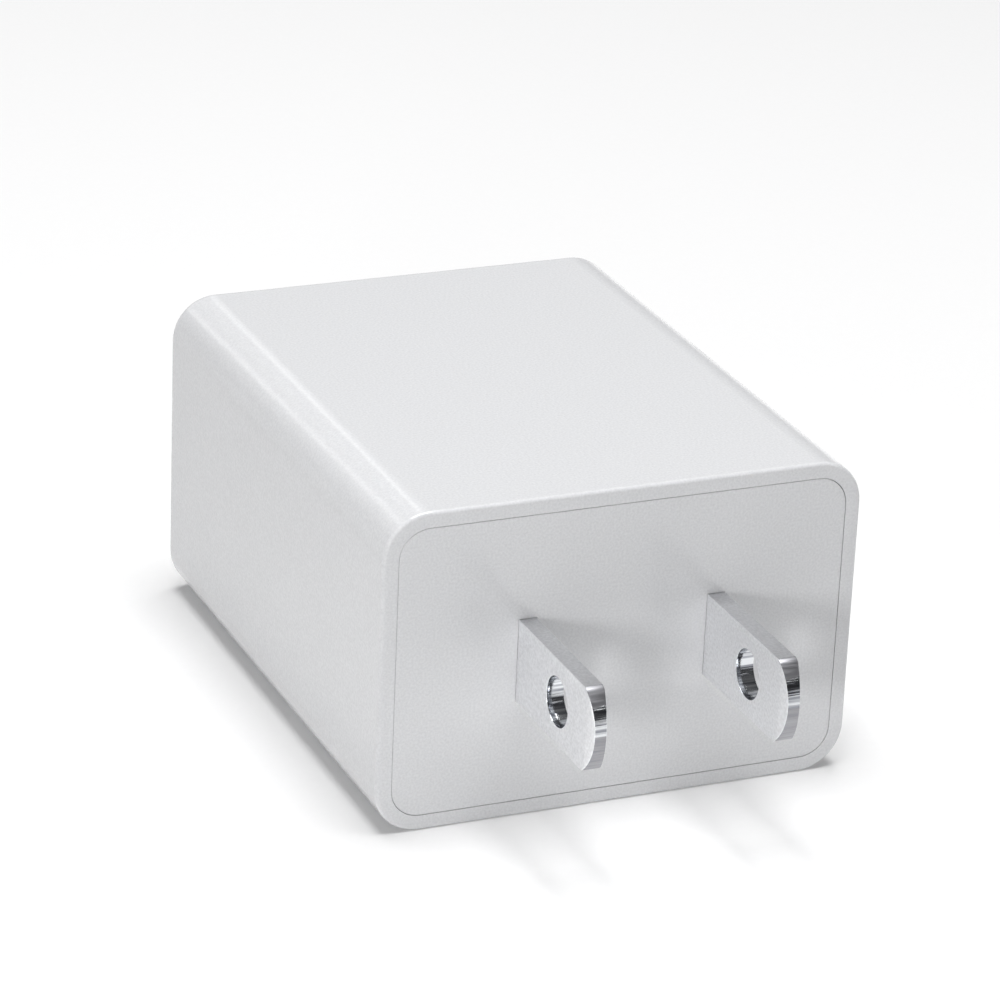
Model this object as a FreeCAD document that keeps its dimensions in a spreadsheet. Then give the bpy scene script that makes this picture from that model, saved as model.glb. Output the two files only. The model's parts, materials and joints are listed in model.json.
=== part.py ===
import FreeCAD, Part
import math
import os
import re
import Sketcher

# USB wall charger with two fixed flat blades.
#
# Frame: the origin is the centre of the outlet face, midway between the blades. The blades point
# along -Y into the wall outlet, the body runs along +Y to the USB port, and +Z is up. Millimetres.
#
# Every size below is a cell of the document's sheet, and every sub-part is bound to those cells.

DIMENSIONS = [
    # body
    ("body_width", 32.0, "outside width along X"),
    ("body_height", 21.3, "outside height along Z"),
    ("body_length", 39.5, "outlet face to USB face along Y"),
    ("corner_round", 3.0, "round of the four long edges"),
    ("rear_round", 0.7, "round of the edges about the USB face"),
    ("front_round", 0.25, "round of the edges about the outlet face"),
    ("wall", 1.8, "side walls of the housing"),
    ("end_wall", 2.0, "wall about the USB port"),
    ("seam_inset", 1.05, "outlet face's seam, in from the outside"),
    ("seam_gap", 0.03, "gap between the end plate and the housing"),
    # end plate
    ("plate_thick", 2.0, "end plate"),
    ("plate_edge", 0.05, "broken edge of the end plate"),
    ("lip_thick", 1.0, "lip that plugs into the cavity"),
    ("lip_depth", 2.0, "lip behind the plate"),
    ("lip_play", 0.1, "lip to cavity wall"),
    ("boss_wall", 1.1, "plastic about each blade's root"),
    ("slot_play", 0.02, "blade to plate"),
    # blades
    ("blade_pitch", 12.7, "blade to blade, centre to centre"),
    ("blade_width", 5.5, "blade across, along Z"),
    ("blade_thick", 1.2, "blade, along X"),
    ("blade_length", 11.3, "outlet face to tip"),
    ("tip_bulge", 1.2, "height of the curved tip"),
    ("tip_corner", 0.6, "round where the tip meets the long edges"),
    ("bevel_long", 1.0, "tip bevel along the blade"),
    ("bevel_deep", 0.2, "tip bevel into each flat, at the tip"),
    ("hole_size", 3.2, "diameter of the hole in a blade"),
    ("hole_setback", 6.1, "outlet face to the hole's centre"),
    ("root_depth", 4.5, "full-width root behind the outlet face"),
    ("tail_depth", 7.5, "narrow tail's end behind the outlet face"),
    ("tail_width", 3.6, "narrow tail across"),
    # circuit board and the rails that it slides in
    ("board_width", 27.8, "circuit board across"),
    ("board_start", 5.0, "board's edge behind the outlet face"),
    ("board_end", 37.2, "board's far edge"),
    ("board_thick", 1.2, "board"),
    ("board_top", -3.0, "height of the board's upper face"),
    ("rail_reach", 1.0, "rails, in from the side walls"),
    ("rail_thick", 0.9, "each rail"),
    ("rail_play", 0.1, "board to rail"),
    ("rail_start", 5.5, "rails' start behind the outlet face"),
    # spring strips from the blades to the board
    ("strip_thick", 0.3, "strip"),
    ("strip_foot", 4.9, "foot's distance from the middle plane"),
    ("strip_top", 1.5, "strip's upper edge"),
    ("strip_touch", 1.5, "strip's touching line, in front of the tail's end"),
    ("strip_bend", 1.0, "strip's straight foot, from behind the tail's end"),
    ("strip_end", 2.5, "strip's end, behind the tail's end"),
    # USB receptacle
    ("shell_width", 13.1, "metal shell outside, along X"),
    ("shell_height", 5.72, "metal shell outside, along Z"),
    ("shell_length", 14.2, "metal shell along Y"),
    ("shell_recess", 0.4, "shell's mouth behind the USB face"),
    ("shell_sheet", 0.3, "shell's sheet"),
    ("port_play", 0.15, "housing's window to shell"),
    ("port_lead", 0.3, "broken edge of the window"),
    ("finger_place", 3.1, "spring fingers from the middle plane"),
    ("finger_width", 1.8, "each spring finger"),
    ("finger_length", 5.0, "each spring finger along Y"),
    ("finger_nose", 2.5, "shell's mouth to the fingers' free ends"),
    ("leg_width", 2.0, "shell's legs along Y"),
    ("leg_near", 4.0, "legs' distance from the receptacle's ends"),
    ("tongue_width", 11.1, "tongue across"),
    ("tongue_thick", 1.84, "tongue"),
    ("tongue_gap", 0.7, "tongue to the shell's roof"),
    ("tongue_reach", 8.7, "tongue beyond its base"),
    ("base_length", 4.0, "block that carries the tongue"),
    ("base_inset", 0.3, "block's back face inside the shell"),
    ("base_play", 0.1, "block to shell"),
    # USB contacts
    ("contact_outer", 3.5, "outer contacts from the middle plane"),
    ("contact_inner", 1.0, "inner contacts from the middle plane"),
    ("contact_width", 1.0, "each spring contact"),
    ("contact_thick", 0.25, "contact strip"),
    ("pivot_inset", 0.4, "bending line in front of the block"),
    ("pivot_rise", 0.6, "bending line above the tongue's underside"),
    ("arm_reach", 5.6, "bending line to the contact's bump"),
    ("bump_drop", 0.45, "bump below the tongue's underside"),
    ("toe_reach", 1.4, "bump to the contact's toe"),
    ("toe_rise", 0.35, "toe above the tongue's underside"),
    ("slot_width", 1.3, "slot about each contact"),
    ("slot_depth", 1.2, "slot into the tongue"),
    ("slot_end", 0.5, "tongue's nose in front of the slots"),
    ("tail_bend", 0.6, "contact tails' bend behind the shell"),
    # transformer
    ("core_x", 3.0, "transformer's centre"),
    ("core_y", 17.3, "transformer's centre"),
    ("core_width", 13.2, "ferrite core along X"),
    ("core_depth", 6.0, "ferrite core along Y"),
    ("core_half", 4.8, "each core half's height"),
    ("core_back", 1.6, "core's back"),
    ("core_leg", 1.5, "outer legs"),
    ("core_post", 3.2, "centre leg"),
    ("core_lift", 1.4, "core above the board"),
    ("tube_wall", 0.6, "bobbin's tube and flanges"),
    ("core_play", 0.1, "core to bobbin"),
    ("flange_depth", 12.4, "bobbin's flanges along Y"),
    ("rail_depth", 1.6, "bobbin's pin rails along Y"),
    ("primary_build", 1.2, "primary winding's thickness"),
    ("secondary_build", 0.9, "secondary winding's thickness"),
    ("tape_build", 0.15, "tape's thickness"),
    ("winding_round", 0.2, "innermost turn's corners"),
    ("pin_pitch", 2.4, "transformer's pins, centre to centre"),
    ("pin_hold", 1.5, "transformer's pins into the bobbin's rails"),
    ("pin_size", 0.6, "diameter of pins and leads"),
    ("pin_below", 1.0, "pins below the board"),
    ("pin_play", 0.1, "pin to its hole, on the radius"),
    # capacitors
    ("bulk_size", 8.0, "input capacitors' diameter"),
    ("bulk_height", 11.0, "input capacitors' height"),
    ("bulk_spread", 1.75, "input capacitors' leads from their axis"),
    ("bulk_place", 8.8, "input capacitors from the middle plane"),
    ("bulk_first", 12.2, "first input capacitor along Y"),
    ("bulk_second", 20.7, "second input capacitor along Y"),
    ("output_size", 6.0, "output capacitors' diameter"),
    ("output_height", 9.0, "output capacitors' height"),
    ("output_spread", 1.25, "output capacitors' leads from their axis"),
    ("output_place", 10.0, "output capacitors from the middle plane"),
    ("output_along", 29.5, "output capacitors along Y"),
    ("can_groove", 0.4, "depth of a can's rolled groove"),
    ("can_foot", 0.8, "can below its groove"),
    ("can_rim", 0.3, "can's rolled rim"),
    # other components above the board
    ("barrel_radius", 1.5, "resistor's and inductor's caps"),
    ("resistor_half", 3.2, "half the resistor's length"),
    ("resistor_lead", 4.0, "resistor's leads from its middle"),
    ("inductor_half", 4.0, "half the inductor's length"),
    ("inductor_lead", 4.6, "inductor's leads from its middle"),
    ("inductor_along", 9.6, "inductor along Y"),
    ("side_place", 11.6, "inductor and disc from the middle plane"),
    ("disc_radius", 3.6, "disc capacitor"),
    ("disc_thick", 2.8, "disc capacitor"),
    ("disc_lead", 2.5, "disc's leads from its middle"),
    ("disc_along", 19.5, "disc along Y"),
    # components under the board
    ("lead_pitch", 1.27, "packages' leads, centre to centre"),
    ("case_gap", 0.1, "packages' cases below the board"),
    ("chip_length", 2.0, "chip along Y"),
    ("chip_width", 1.25, "chip along X"),
    ("chip_height", 0.6, "chip"),
    ("chip_column", 2.2, "chips along X, centre to centre"),
    ("chip_row", 2.6, "chips along Y, centre to centre"),
    ("chip_start", 32.0, "first row of chips along Y"),
    ("stand_off", 0.3, "components above the board"),
    ("sheet_thick", 0.2, "insulating sheet"),
    ("sheet_margin", 1.3, "insulating sheet to the cavity's walls"),
]

SHEET = "Dimensions"

# two lengths nearer than this are the same
NEAR = 1e-4

document = FreeCAD.newDocument("usb_wall_charger")
sheet = document.addObject("Spreadsheet::Sheet", SHEET)
for row, (alias, size, meaning) in enumerate(DIMENSIONS, start=1):
    sheet.set(f"A{row}", alias)
    sheet.set(f"B{row}", str(size))
    sheet.setAlias(f"B{row}", alias)
    sheet.set(f"C{row}", meaning)
document.recompute()
ALIASES = {alias for alias, size, meaning in DIMENSIONS}


# ---- binding to the sheet ----


def bound(expression):
    """The expression with each size's name pointed at the sheet."""

    def point(match):
        word = match.group(0)
        return f"{SHEET}.{word}" if word in ALIASES else word

    return re.sub(r"[a-z_]+", point, expression)


def number(expression):
    """The expression's present value, for places where a feature needs a plain number."""
    return float(sheet.evalExpression(bound(expression)))


def drive(thing, **sizes):
    """Binds properties of a thing to expressions over the sheet."""
    for name, expression in sizes.items():
        thing.setExpression(name, bound(expression))


def place(thing, x="0", y="0", z="0"):
    """Binds where a thing stands."""
    for axis, expression in zip("xyz", (x, y, z)):
        thing.setExpression(f"Placement.Base.{axis}", bound(expression))


# ---- solids from primitives ----


def box(name, low, high):
    """A box between two corners, each given as three expressions."""
    solid = document.addObject("Part::Box", name)
    drive(
        solid,
        Length=f"({high[0]}) - ({low[0]})",
        Width=f"({high[1]}) - ({low[1]})",
        Height=f"({high[2]}) - ({low[2]})",
    )
    place(solid, *low)
    return solid


def centred_box(name, centre, size):
    """A box about a centre."""
    low = [f"({middle}) - ({extent}) / 2" for middle, extent in zip(centre, size)]
    high = [f"({middle}) + ({extent}) / 2" for middle, extent in zip(centre, size)]
    return box(name, low, high)


TURNS = {
    "x": FreeCAD.Rotation(FreeCAD.Vector(0, 1, 0), 90),
    "y": FreeCAD.Rotation(FreeCAD.Vector(1, 0, 0), -90),
    "z": FreeCAD.Rotation(),
}


def rod(name, start, radius, length, along="z"):
    """A cylinder from a point, along an axis of the frame."""
    solid = document.addObject("Part::Cylinder", name)
    solid.Placement.Rotation = TURNS[along]
    drive(solid, Radius=radius, Height=length)
    place(solid, *start)
    return solid


def fused(name, pieces):
    solid = document.addObject("Part::MultiFuse", name)
    solid.Shapes = pieces
    return solid


def cut(name, base, tools):
    """The base with every tool taken out of it."""
    solid = document.addObject("Part::Cut", name)
    solid.Base = base
    solid.Tool = tools[0] if len(tools) == 1 else fused(name + "_tools", tools)
    return solid


def grouped(name, pieces):
    """Separate solids that share one node."""
    group = document.addObject("Part::Compound", name)
    group.Links = pieces
    return group


# ---- bodies from sketches ----


def new_body(name):
    return document.addObject("PartDesign::Body", name)


def sketch_on(body, plane, name, offset=None):
    """A sketch on one of the body's own origin planes, moved along the plane's normal by an expression."""
    sketch = body.newObject("Sketcher::SketchObject", name)
    base = next(f for f in body.Origin.OriginFeatures if f.Role == plane)
    sketch.AttachmentSupport = [(base, "")]
    sketch.MapMode = "FlatFace"
    if offset:
        sketch.setExpression("AttachmentOffset.Base.z", bound(offset))
    return sketch


def hold(sketch, kind, places, expression):
    """Adds one dimension to a sketch and binds it to the sheet."""
    index = sketch.addConstraint(Sketcher.Constraint(kind, *places, number(expression)))
    sketch.setExpression(f"Constraints[{index}]", bound(expression))


def polygon(sketch, corners, bulge=None):
    """A closed outline through corners given as pairs of expressions.

    The side from the last corner to the first is an arc that stands out by bulge, where that is given.
    """
    points = [FreeCAD.Vector(number(x), number(y), 0) for x, y in corners]
    count = len(points)
    first = sketch.GeometryCount
    for k in range(count):
        start, end = points[k], points[(k + 1) % count]
        if bulge and k == count - 1:
            chord = end - start
            outward = FreeCAD.Vector(chord.y, -chord.x, 0).normalize()
            crown = (start + end) / 2 + outward * number(bulge)
            sketch.addGeometry(Part.Arc(start, crown, end))
        else:
            sketch.addGeometry(Part.LineSegment(start, end))
    tail = 2
    if bulge:
        # an arc runs counter-clockwise, so its start may be the outline's last or first corner
        arc = sketch.Geometry[first + count - 1]
        last = points[-1]
        tail = 2 if arc.StartPoint.distanceToPoint(last) < arc.EndPoint.distanceToPoint(last) else 1
    for k in range(count):
        here = first + k
        after = first + (k + 1) % count
        end_point = tail if k == count - 1 else 2
        start_point = 3 - tail if bulge and k == count - 2 else 1
        sketch.addConstraint(Sketcher.Constraint("Coincident", here, end_point, after, start_point))
    straight = count - 1 if bulge else count
    for k, (x, y) in enumerate(corners[:straight]):
        hold(sketch, "DistanceX", (-1, 1, first + k, 1), x)
        hold(sketch, "DistanceY", (-1, 1, first + k, 1), y)
    if bulge:
        x, y = corners[-1]
        hold(sketch, "DistanceX", (-1, 1, first + count - 2, 2), x)
        hold(sketch, "DistanceY", (-1, 1, first + count - 2, 2), y)
        (x_a, y_a), (x_b, y_b) = corners[-1], corners[0]
        half_chord = f"sqrt(pow(({x_b}) - ({x_a}); 2) + pow(({y_b}) - ({y_a}); 2)) / 2"
        hold(
            sketch,
            "Radius",
            (first + count - 1,),
            f"(pow({half_chord}; 2) + pow({bulge}; 2)) / (2 * {bulge})",
        )


def rectangle(sketch, low, high):
    """A rectangle between two corners given as pairs of expressions."""
    polygon(sketch, [(low[0], low[1]), (high[0], low[1]), (high[0], high[1]), (low[0], high[1])])


def rounded_rectangle(sketch, width, height, radius, centre=("0", "0")):
    """A rectangle with four equal arcs for corners, its centre given by two expressions."""
    reach_x = number(width) / 2
    reach_y = number(height) / 2
    arc = number(radius)
    middle = FreeCAD.Vector(number(centre[0]), number(centre[1]), 0)
    first = sketch.GeometryCount
    for quarter in range(4):
        angle = quarter * math.pi / 2
        side_x = 1 if quarter in (0, 3) else -1
        side_y = 1 if quarter in (0, 1) else -1
        centre_point = middle + FreeCAD.Vector(side_x * (reach_x - arc), side_y * (reach_y - arc), 0)
        circle = Part.Circle(centre_point, FreeCAD.Vector(0, 0, 1), arc)
        sketch.addGeometry(Part.ArcOfCircle(circle, angle, angle + math.pi / 2))
    for quarter in range(4):
        start = sketch.Geometry[first + quarter].EndPoint
        end = sketch.Geometry[first + (quarter + 1) % 4].StartPoint
        sketch.addGeometry(Part.LineSegment(start, end))
        side = first + 4 + quarter
        sketch.addConstraint(Sketcher.Constraint("Tangent", first + quarter, 2, side, 1))
        sketch.addConstraint(Sketcher.Constraint("Tangent", side, 2, first + (quarter + 1) % 4, 1))
        direction = "Horizontal" if quarter in (0, 2) else "Vertical"
        sketch.addConstraint(Sketcher.Constraint(direction, side))
    for quarter in (1, 2, 3):
        sketch.addConstraint(Sketcher.Constraint("Equal", first, first + quarter))
    top, left, bottom, right = range(first + 4, first + 8)
    hold(sketch, "Radius", (first,), radius)
    hold(sketch, "DistanceY", (-1, 1, top, 1), f"({centre[1]}) + ({height}) / 2")
    hold(sketch, "DistanceY", (-1, 1, bottom, 1), f"({centre[1]}) - ({height}) / 2")
    hold(sketch, "DistanceX", (-1, 1, left, 1), f"({centre[0]}) - ({width}) / 2")
    hold(sketch, "DistanceX", (-1, 1, right, 1), f"({centre[0]}) + ({width}) / 2")


def circle(sketch, x, y, radius):
    centre = FreeCAD.Vector(number(x), number(y), 0)
    index = sketch.addGeometry(Part.Circle(centre, FreeCAD.Vector(0, 0, 1), number(radius)))
    hold(sketch, "Radius", (index,), radius)
    hold(sketch, "DistanceX", (-1, 1, index, 3), x)
    hold(sketch, "DistanceY", (-1, 1, index, 3), y)


def pad(body, sketch, length, backward=False, both_ways=False):
    """Adds material along the sketch's normal, against it, or half each way."""
    feature = body.newObject("PartDesign::Pad", sketch.Name + "_pad")
    feature.Profile = sketch
    feature.Midplane = both_ways
    feature.Reversed = backward
    drive(feature, Length=length)
    document.recompute()
    return feature


def pocket(body, sketch, length=None, backward=False, both_ways=False):
    """Takes material away and checks that some went. With no length it goes right through."""
    before = body.Shape.Volume
    feature = body.newObject("PartDesign::Pocket", sketch.Name + "_pocket")
    feature.Profile = sketch
    feature.Midplane = both_ways
    feature.Reversed = backward
    if length:
        drive(feature, Length=length)
    else:
        feature.Type = "ThroughAll"
    document.recompute()
    if not body.Shape.Volume < before:
        raise RuntimeError(f"{feature.Name} cuts nothing")
    return feature


def edges_where(shape, wanted):
    """Names of the shape's edges that pass the test, which gets the edge and its bounding box."""
    return [
        f"Edge{k}" for k, edge in enumerate(shape.Edges, start=1) if wanted(edge, edge.BoundBox)
    ]


def dress(body, kind, name, wanted, **sizes):
    """A fillet or chamfer on the edges of the body's tip that pass the test."""
    base = body.Tip
    names = edges_where(base.Shape, wanted)
    if not names:
        raise RuntimeError(f"{name} finds no edge")
    feature = body.newObject(f"PartDesign::{kind}", name)
    feature.Base = (base, names)
    if "Size2" in sizes:
        feature.ChamferType = "Two distances"
    drive(feature, **sizes)
    document.recompute()
    return feature


def at_level(box_low, box_high, level):
    """True where both ends of an extent lie at the level."""
    return abs(box_low - level) < NEAR and abs(box_high - level) < NEAR


# ---- casing ----

CAVITY_WIDTH = "body_width - 2 * wall"
CAVITY_HEIGHT = "body_height - 2 * wall"
CAVITY_ROUND = "corner_round - wall"
PLATE_WIDTH = "body_width - 2 * seam_inset"
PLATE_HEIGHT = "body_height - 2 * seam_inset"
PLATE_ROUND = "corner_round - seam_inset"


def housing_shell():
    """The casing: a sleeve with rounded long edges, closed at the USB end apart from the port's window."""
    body = new_body("housing_shell")
    outline = sketch_on(body, "XZ_Plane", "housing_outline")
    rounded_rectangle(outline, "body_width", "body_height", "corner_round")
    pad(body, outline, "body_length", backward=True)

    rear = number("body_length")

    def at_rear(edge, extent):
        return at_level(extent.YMin, extent.YMax, rear)

    def at_front(edge, extent):
        return at_level(extent.YMin, extent.YMax, 0)

    dress(body, "Fillet", "housing_rear_round", at_rear, Radius="rear_round")
    dress(body, "Fillet", "housing_front_round", at_front, Radius="front_round")

    recess = sketch_on(body, "XZ_Plane", "housing_recess")
    rounded_rectangle(
        recess,
        f"{PLATE_WIDTH} + 2 * seam_gap",
        f"{PLATE_HEIGHT} + 2 * seam_gap",
        f"{PLATE_ROUND} + seam_gap",
    )
    pocket(body, recess, "plate_thick")

    cavity = sketch_on(body, "XZ_Plane", "housing_cavity")
    rounded_rectangle(cavity, CAVITY_WIDTH, CAVITY_HEIGHT, CAVITY_ROUND)
    pocket(body, cavity, "body_length - end_wall")

    rails = sketch_on(body, "XZ_Plane", "housing_rails", offset="-rail_start")
    inner = f"({CAVITY_WIDTH}) / 2 - rail_reach"
    outer = f"({CAVITY_WIDTH}) / 2 + wall / 2"
    upper = "board_top + rail_play"
    lower = "board_top - board_thick - rail_play"
    for level_low, level_high in ((upper, f"{upper} + rail_thick"), (f"{lower} - rail_thick", lower)):
        rectangle(rails, (inner, level_low), (outer, level_high))
        rectangle(rails, (f"-({outer})", level_low), (f"-({inner})", level_high))
    pad(body, rails, "body_length - end_wall / 2 - rail_start", backward=True)

    window = sketch_on(body, "XZ_Plane", "housing_window")
    rounded_rectangle(
        window,
        "shell_width + 2 * port_play",
        "shell_height + 2 * port_play",
        "2 * shell_sheet + port_play",
    )
    pocket(body, window)
    reach = number("shell_width / 2 + port_play") + NEAR

    def at_window(edge, extent):
        return at_rear(edge, extent) and extent.XMin > -reach and extent.XMax < reach

    dress(body, "Chamfer", "housing_window_lead", at_window, Size="port_lead")
    return body


def end_plate():
    """The outlet end: a flush plate with a lip into the cavity and a boss behind each blade's slot."""
    body = new_body("end_plate")
    outline = sketch_on(body, "XZ_Plane", "plate_outline")
    rounded_rectangle(outline, PLATE_WIDTH, PLATE_HEIGHT, PLATE_ROUND)
    pad(body, outline, "plate_thick", backward=True)
    dress(body, "Fillet", "plate_round", lambda e, b: at_level(b.YMin, b.YMax, 0), Radius="plate_edge")

    lip = sketch_on(body, "XZ_Plane", "plate_lip", offset="-plate_thick")
    rounded_rectangle(
        lip,
        f"{CAVITY_WIDTH} - 2 * lip_play",
        f"{CAVITY_HEIGHT} - 2 * lip_play",
        f"{CAVITY_ROUND} - lip_play",
    )
    rounded_rectangle(
        lip,
        f"{CAVITY_WIDTH} - 2 * lip_play - 2 * lip_thick",
        f"{CAVITY_HEIGHT} - 2 * lip_play - 2 * lip_thick",
        f"({CAVITY_ROUND}) / 2",
    )
    pad(body, lip, "lip_depth", backward=True)

    bosses = sketch_on(body, "XZ_Plane", "plate_bosses", offset="-plate_thick")
    slots = sketch_on(body, "XZ_Plane", "plate_slots")
    for side in ("-", ""):
        middle = f"{side}blade_pitch / 2"
        half = "blade_thick / 2 + slot_play"
        tall = "blade_width / 2 + slot_play"
        rectangle(slots, (f"{middle} - ({half})", f"-({tall})"), (f"{middle} + {half}", tall))
        wide = f"{half} + boss_wall"
        high = f"{tall} + boss_wall"
        rectangle(bosses, (f"{middle} - ({wide})", f"-({high})"), (f"{middle} + {wide}", high))
    pad(body, bosses, "root_depth - plate_thick", backward=True)
    pocket(body, slots)
    return body


# ---- mains side ----


def blade(name, side):
    """A flat blade with a curved, bevelled tip, a round hole, and a narrow tail inside the casing."""
    body = new_body(name)
    outline = sketch_on(body, "YZ_Plane", name + "_outline")
    corner = "-(blade_length - tip_bulge)"
    polygon(
        outline,
        [
            (corner, "-blade_width / 2"),
            ("root_depth", "-blade_width / 2"),
            ("root_depth", "-tail_width / 2"),
            ("tail_depth", "-tail_width / 2"),
            ("tail_depth", "tail_width / 2"),
            ("root_depth", "tail_width / 2"),
            ("root_depth", "blade_width / 2"),
            (corner, "blade_width / 2"),
        ],
        bulge="tip_bulge",
    )
    pad(body, outline, "blade_thick", both_ways=True)

    shoulder = number(corner)
    dress(
        body,
        "Fillet",
        name + "_tip_corners",
        lambda e, b: at_level(b.YMin, b.YMax, shoulder),
        Radius="tip_corner",
    )
    bevels = sketch_on(body, "XY_Plane", name + "_tip_bevels")
    for way in ("", "-"):
        polygon(
            bevels,
            [
                (f"{way}blade_thick / 2", "-(blade_length - bevel_long)"),
                (f"{way}(blade_thick / 2 - bevel_deep)", "-blade_length"),
                (f"{way}(blade_thick / 2 - bevel_deep)", "-(blade_length + blade_thick)"),
                (f"{way}blade_thick", "-(blade_length + blade_thick)"),
                (f"{way}blade_thick", "-(blade_length - bevel_long)"),
            ],
        )
    pocket(body, bevels, both_ways=True)

    hole = sketch_on(body, "YZ_Plane", name + "_hole")
    circle(hole, "-hole_setback", "0", "hole_size / 2")
    pocket(body, hole, both_ways=True)
    place(body, x=f"{side}blade_pitch / 2")
    return body


STRIP_PIN_X = "(strip_foot - strip_thick / 2)"
STRIP_PIN_Y = "(tail_depth + (strip_bend + strip_end) / 2)"


def blade_contact(name, side):
    """A bent spring strip that stands on the board and presses on a blade's tail."""
    body = new_body(name)
    outline = sketch_on(body, "XY_Plane", name + "_outline", offset="board_top")
    inner_flat = "(blade_pitch - blade_thick) / 2"
    route = [
        (f"{inner_flat} - 4 * strip_thick", "root_depth + strip_thick"),
        (f"{inner_flat} - strip_thick", "tail_depth - strip_touch"),
        ("strip_foot", "tail_depth + strip_bend"),
        ("strip_foot", "tail_depth + strip_end"),
    ]
    far_side = [(f"{x} - strip_thick", y) for x, y in reversed(route)]
    start, touch, bend, end = route
    near_side = [start, (inner_flat, touch[1]), bend, end]
    corners = near_side + far_side
    if side == "-":
        corners = [(f"-({x})", y) for x, y in reversed(corners)]
    polygon(outline, corners)
    pad(body, outline, "strip_top - board_top")
    pin = sketch_on(body, "XY_Plane", name + "_pin", offset="board_top")
    circle(pin, f"{side}{STRIP_PIN_X}", STRIP_PIN_Y, "strip_thick / 2")
    pad(body, pin, "board_thick + pin_below", backward=True)
    return body


# ---- board ----

PIN_FOOT = "(board_top - board_thick - pin_below)"


def pin_holes():
    """Every round hole of the board: x, y and the radius of what goes through it."""
    pins = []
    for side in ("-", ""):
        pins.append((f"{side}{STRIP_PIN_X}", STRIP_PIN_Y, "strip_thick / 2"))
        pins.append((f"{side}resistor_lead", "tail_depth", "pin_size / 2"))
    for x in CONTACT_PLACES:
        pins.append((x, TAIL_BEND, "pin_size / 2"))
    for x, y in transformer_pin_places():
        pins.append((x, y, "pin_size / 2"))
    for x, y, spread in CAPACITOR_PLACES.values():
        pins.append((f"{x} - {spread}", y, "pin_size / 2"))
        pins.append((f"{x} + {spread}", y, "pin_size / 2"))
    for way in ("-", "+"):
        pins.append(("side_place", f"inductor_along {way} inductor_lead", "pin_size / 2"))
        pins.append(("side_place", f"disc_along {way} disc_lead", "pin_size / 2"))
    return pins


def main_pcb():
    """The circuit board, drilled for every pin and slotted for the receptacle's legs."""
    board = box(
        "board_blank",
        ("-board_width / 2", "board_start", "board_top - board_thick"),
        ("board_width / 2", "board_end", "board_top"),
    )
    tools = []
    for k, (x, y, radius) in enumerate(pin_holes(), start=1):
        start = (x, y, "board_top - 2 * board_thick")
        tools.append(rod(f"board_hole_{k}", start, f"{radius} + pin_play", "3 * board_thick"))
    for k, (side, y) in enumerate(shell_leg_places(), start=1):
        centre = (f"{side}{LEG_X}", y, "board_top")
        size = ("shell_sheet + 4 * pin_play", "leg_width + 2 * pin_play", "4 * board_thick")
        tools.append(centred_box(f"board_slot_{k}", centre, size))
    return cut("main_pcb", board, tools)


# ---- USB receptacle ----

SHELL_MOUTH = "(body_length - shell_recess)"
SHELL_BACK = f"({SHELL_MOUTH} - shell_length)"
BASE_BACK = f"({SHELL_BACK} + base_inset)"
BASE_FRONT = f"({BASE_BACK} + base_length)"
TONGUE_TOP = "(shell_height / 2 - shell_sheet - tongue_gap)"
TONGUE_UNDER = f"({TONGUE_TOP} - tongue_thick)"
PIVOT_Y = f"({BASE_FRONT} + pivot_inset)"
PIVOT_Z = f"({TONGUE_UNDER} + pivot_rise)"
TAIL_BEND = f"({SHELL_BACK} - tail_bend)"
LEG_X = "(shell_width / 2 - shell_sheet / 2)"
CONTACT_PLACES = ("-contact_outer", "-contact_inner", "contact_inner", "contact_outer")


def shell_leg_places():
    """The four legs: which side, and where along Y."""
    near = f"{SHELL_BACK} + leg_near"
    far = f"{SHELL_MOUTH} - leg_near - end_wall"
    return [(side, y) for side in ("-", "") for y in (near, far)]


def usb_shell():
    """The receptacle's sheet-metal shell, with four legs and a spring finger cut in its roof and floor."""
    body = new_body("usb_shell_sleeve")
    ring = sketch_on(body, "XZ_Plane", "shell_ring", offset=f"-{SHELL_BACK}")
    rounded_rectangle(ring, "shell_width", "shell_height", "2 * shell_sheet")
    inner_width = "shell_width - 2 * shell_sheet"
    inner_height = "shell_height - 2 * shell_sheet"
    rounded_rectangle(ring, inner_width, inner_height, "shell_sheet")
    pad(body, ring, "shell_length", backward=True)

    legs = []
    for k, (side, y) in enumerate(shell_leg_places(), start=1):
        centre = (f"{side}{LEG_X}", y, f"{PIN_FOOT} / 2")
        size = ("shell_sheet", "leg_width", f"-{PIN_FOOT}")
        legs.append(centred_box(f"shell_leg_{k}", centre, size))
    sleeve = fused("usb_shell_with_legs", [body] + legs)

    slits = []
    for finger, way in (("left", "-"), ("right", "")):
        middle = f"{way}finger_place"
        along = f"{SHELL_MOUTH} - finger_nose - finger_length / 2"
        for edge, shift in (("low", "-"), ("high", "+")):
            centre = (f"{middle} {shift} finger_width / 2", along, "0")
            size = ("shell_sheet", "finger_length", "2 * shell_height")
            slits.append(centred_box(f"shell_slit_{finger}_{edge}", centre, size))
        centre = (middle, f"{SHELL_MOUTH} - finger_nose", "0")
        size = ("finger_width", "shell_sheet", "2 * shell_height")
        slits.append(centred_box(f"shell_slit_{finger}_end", centre, size))
    return cut("usb_shell", sleeve, slits)


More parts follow.
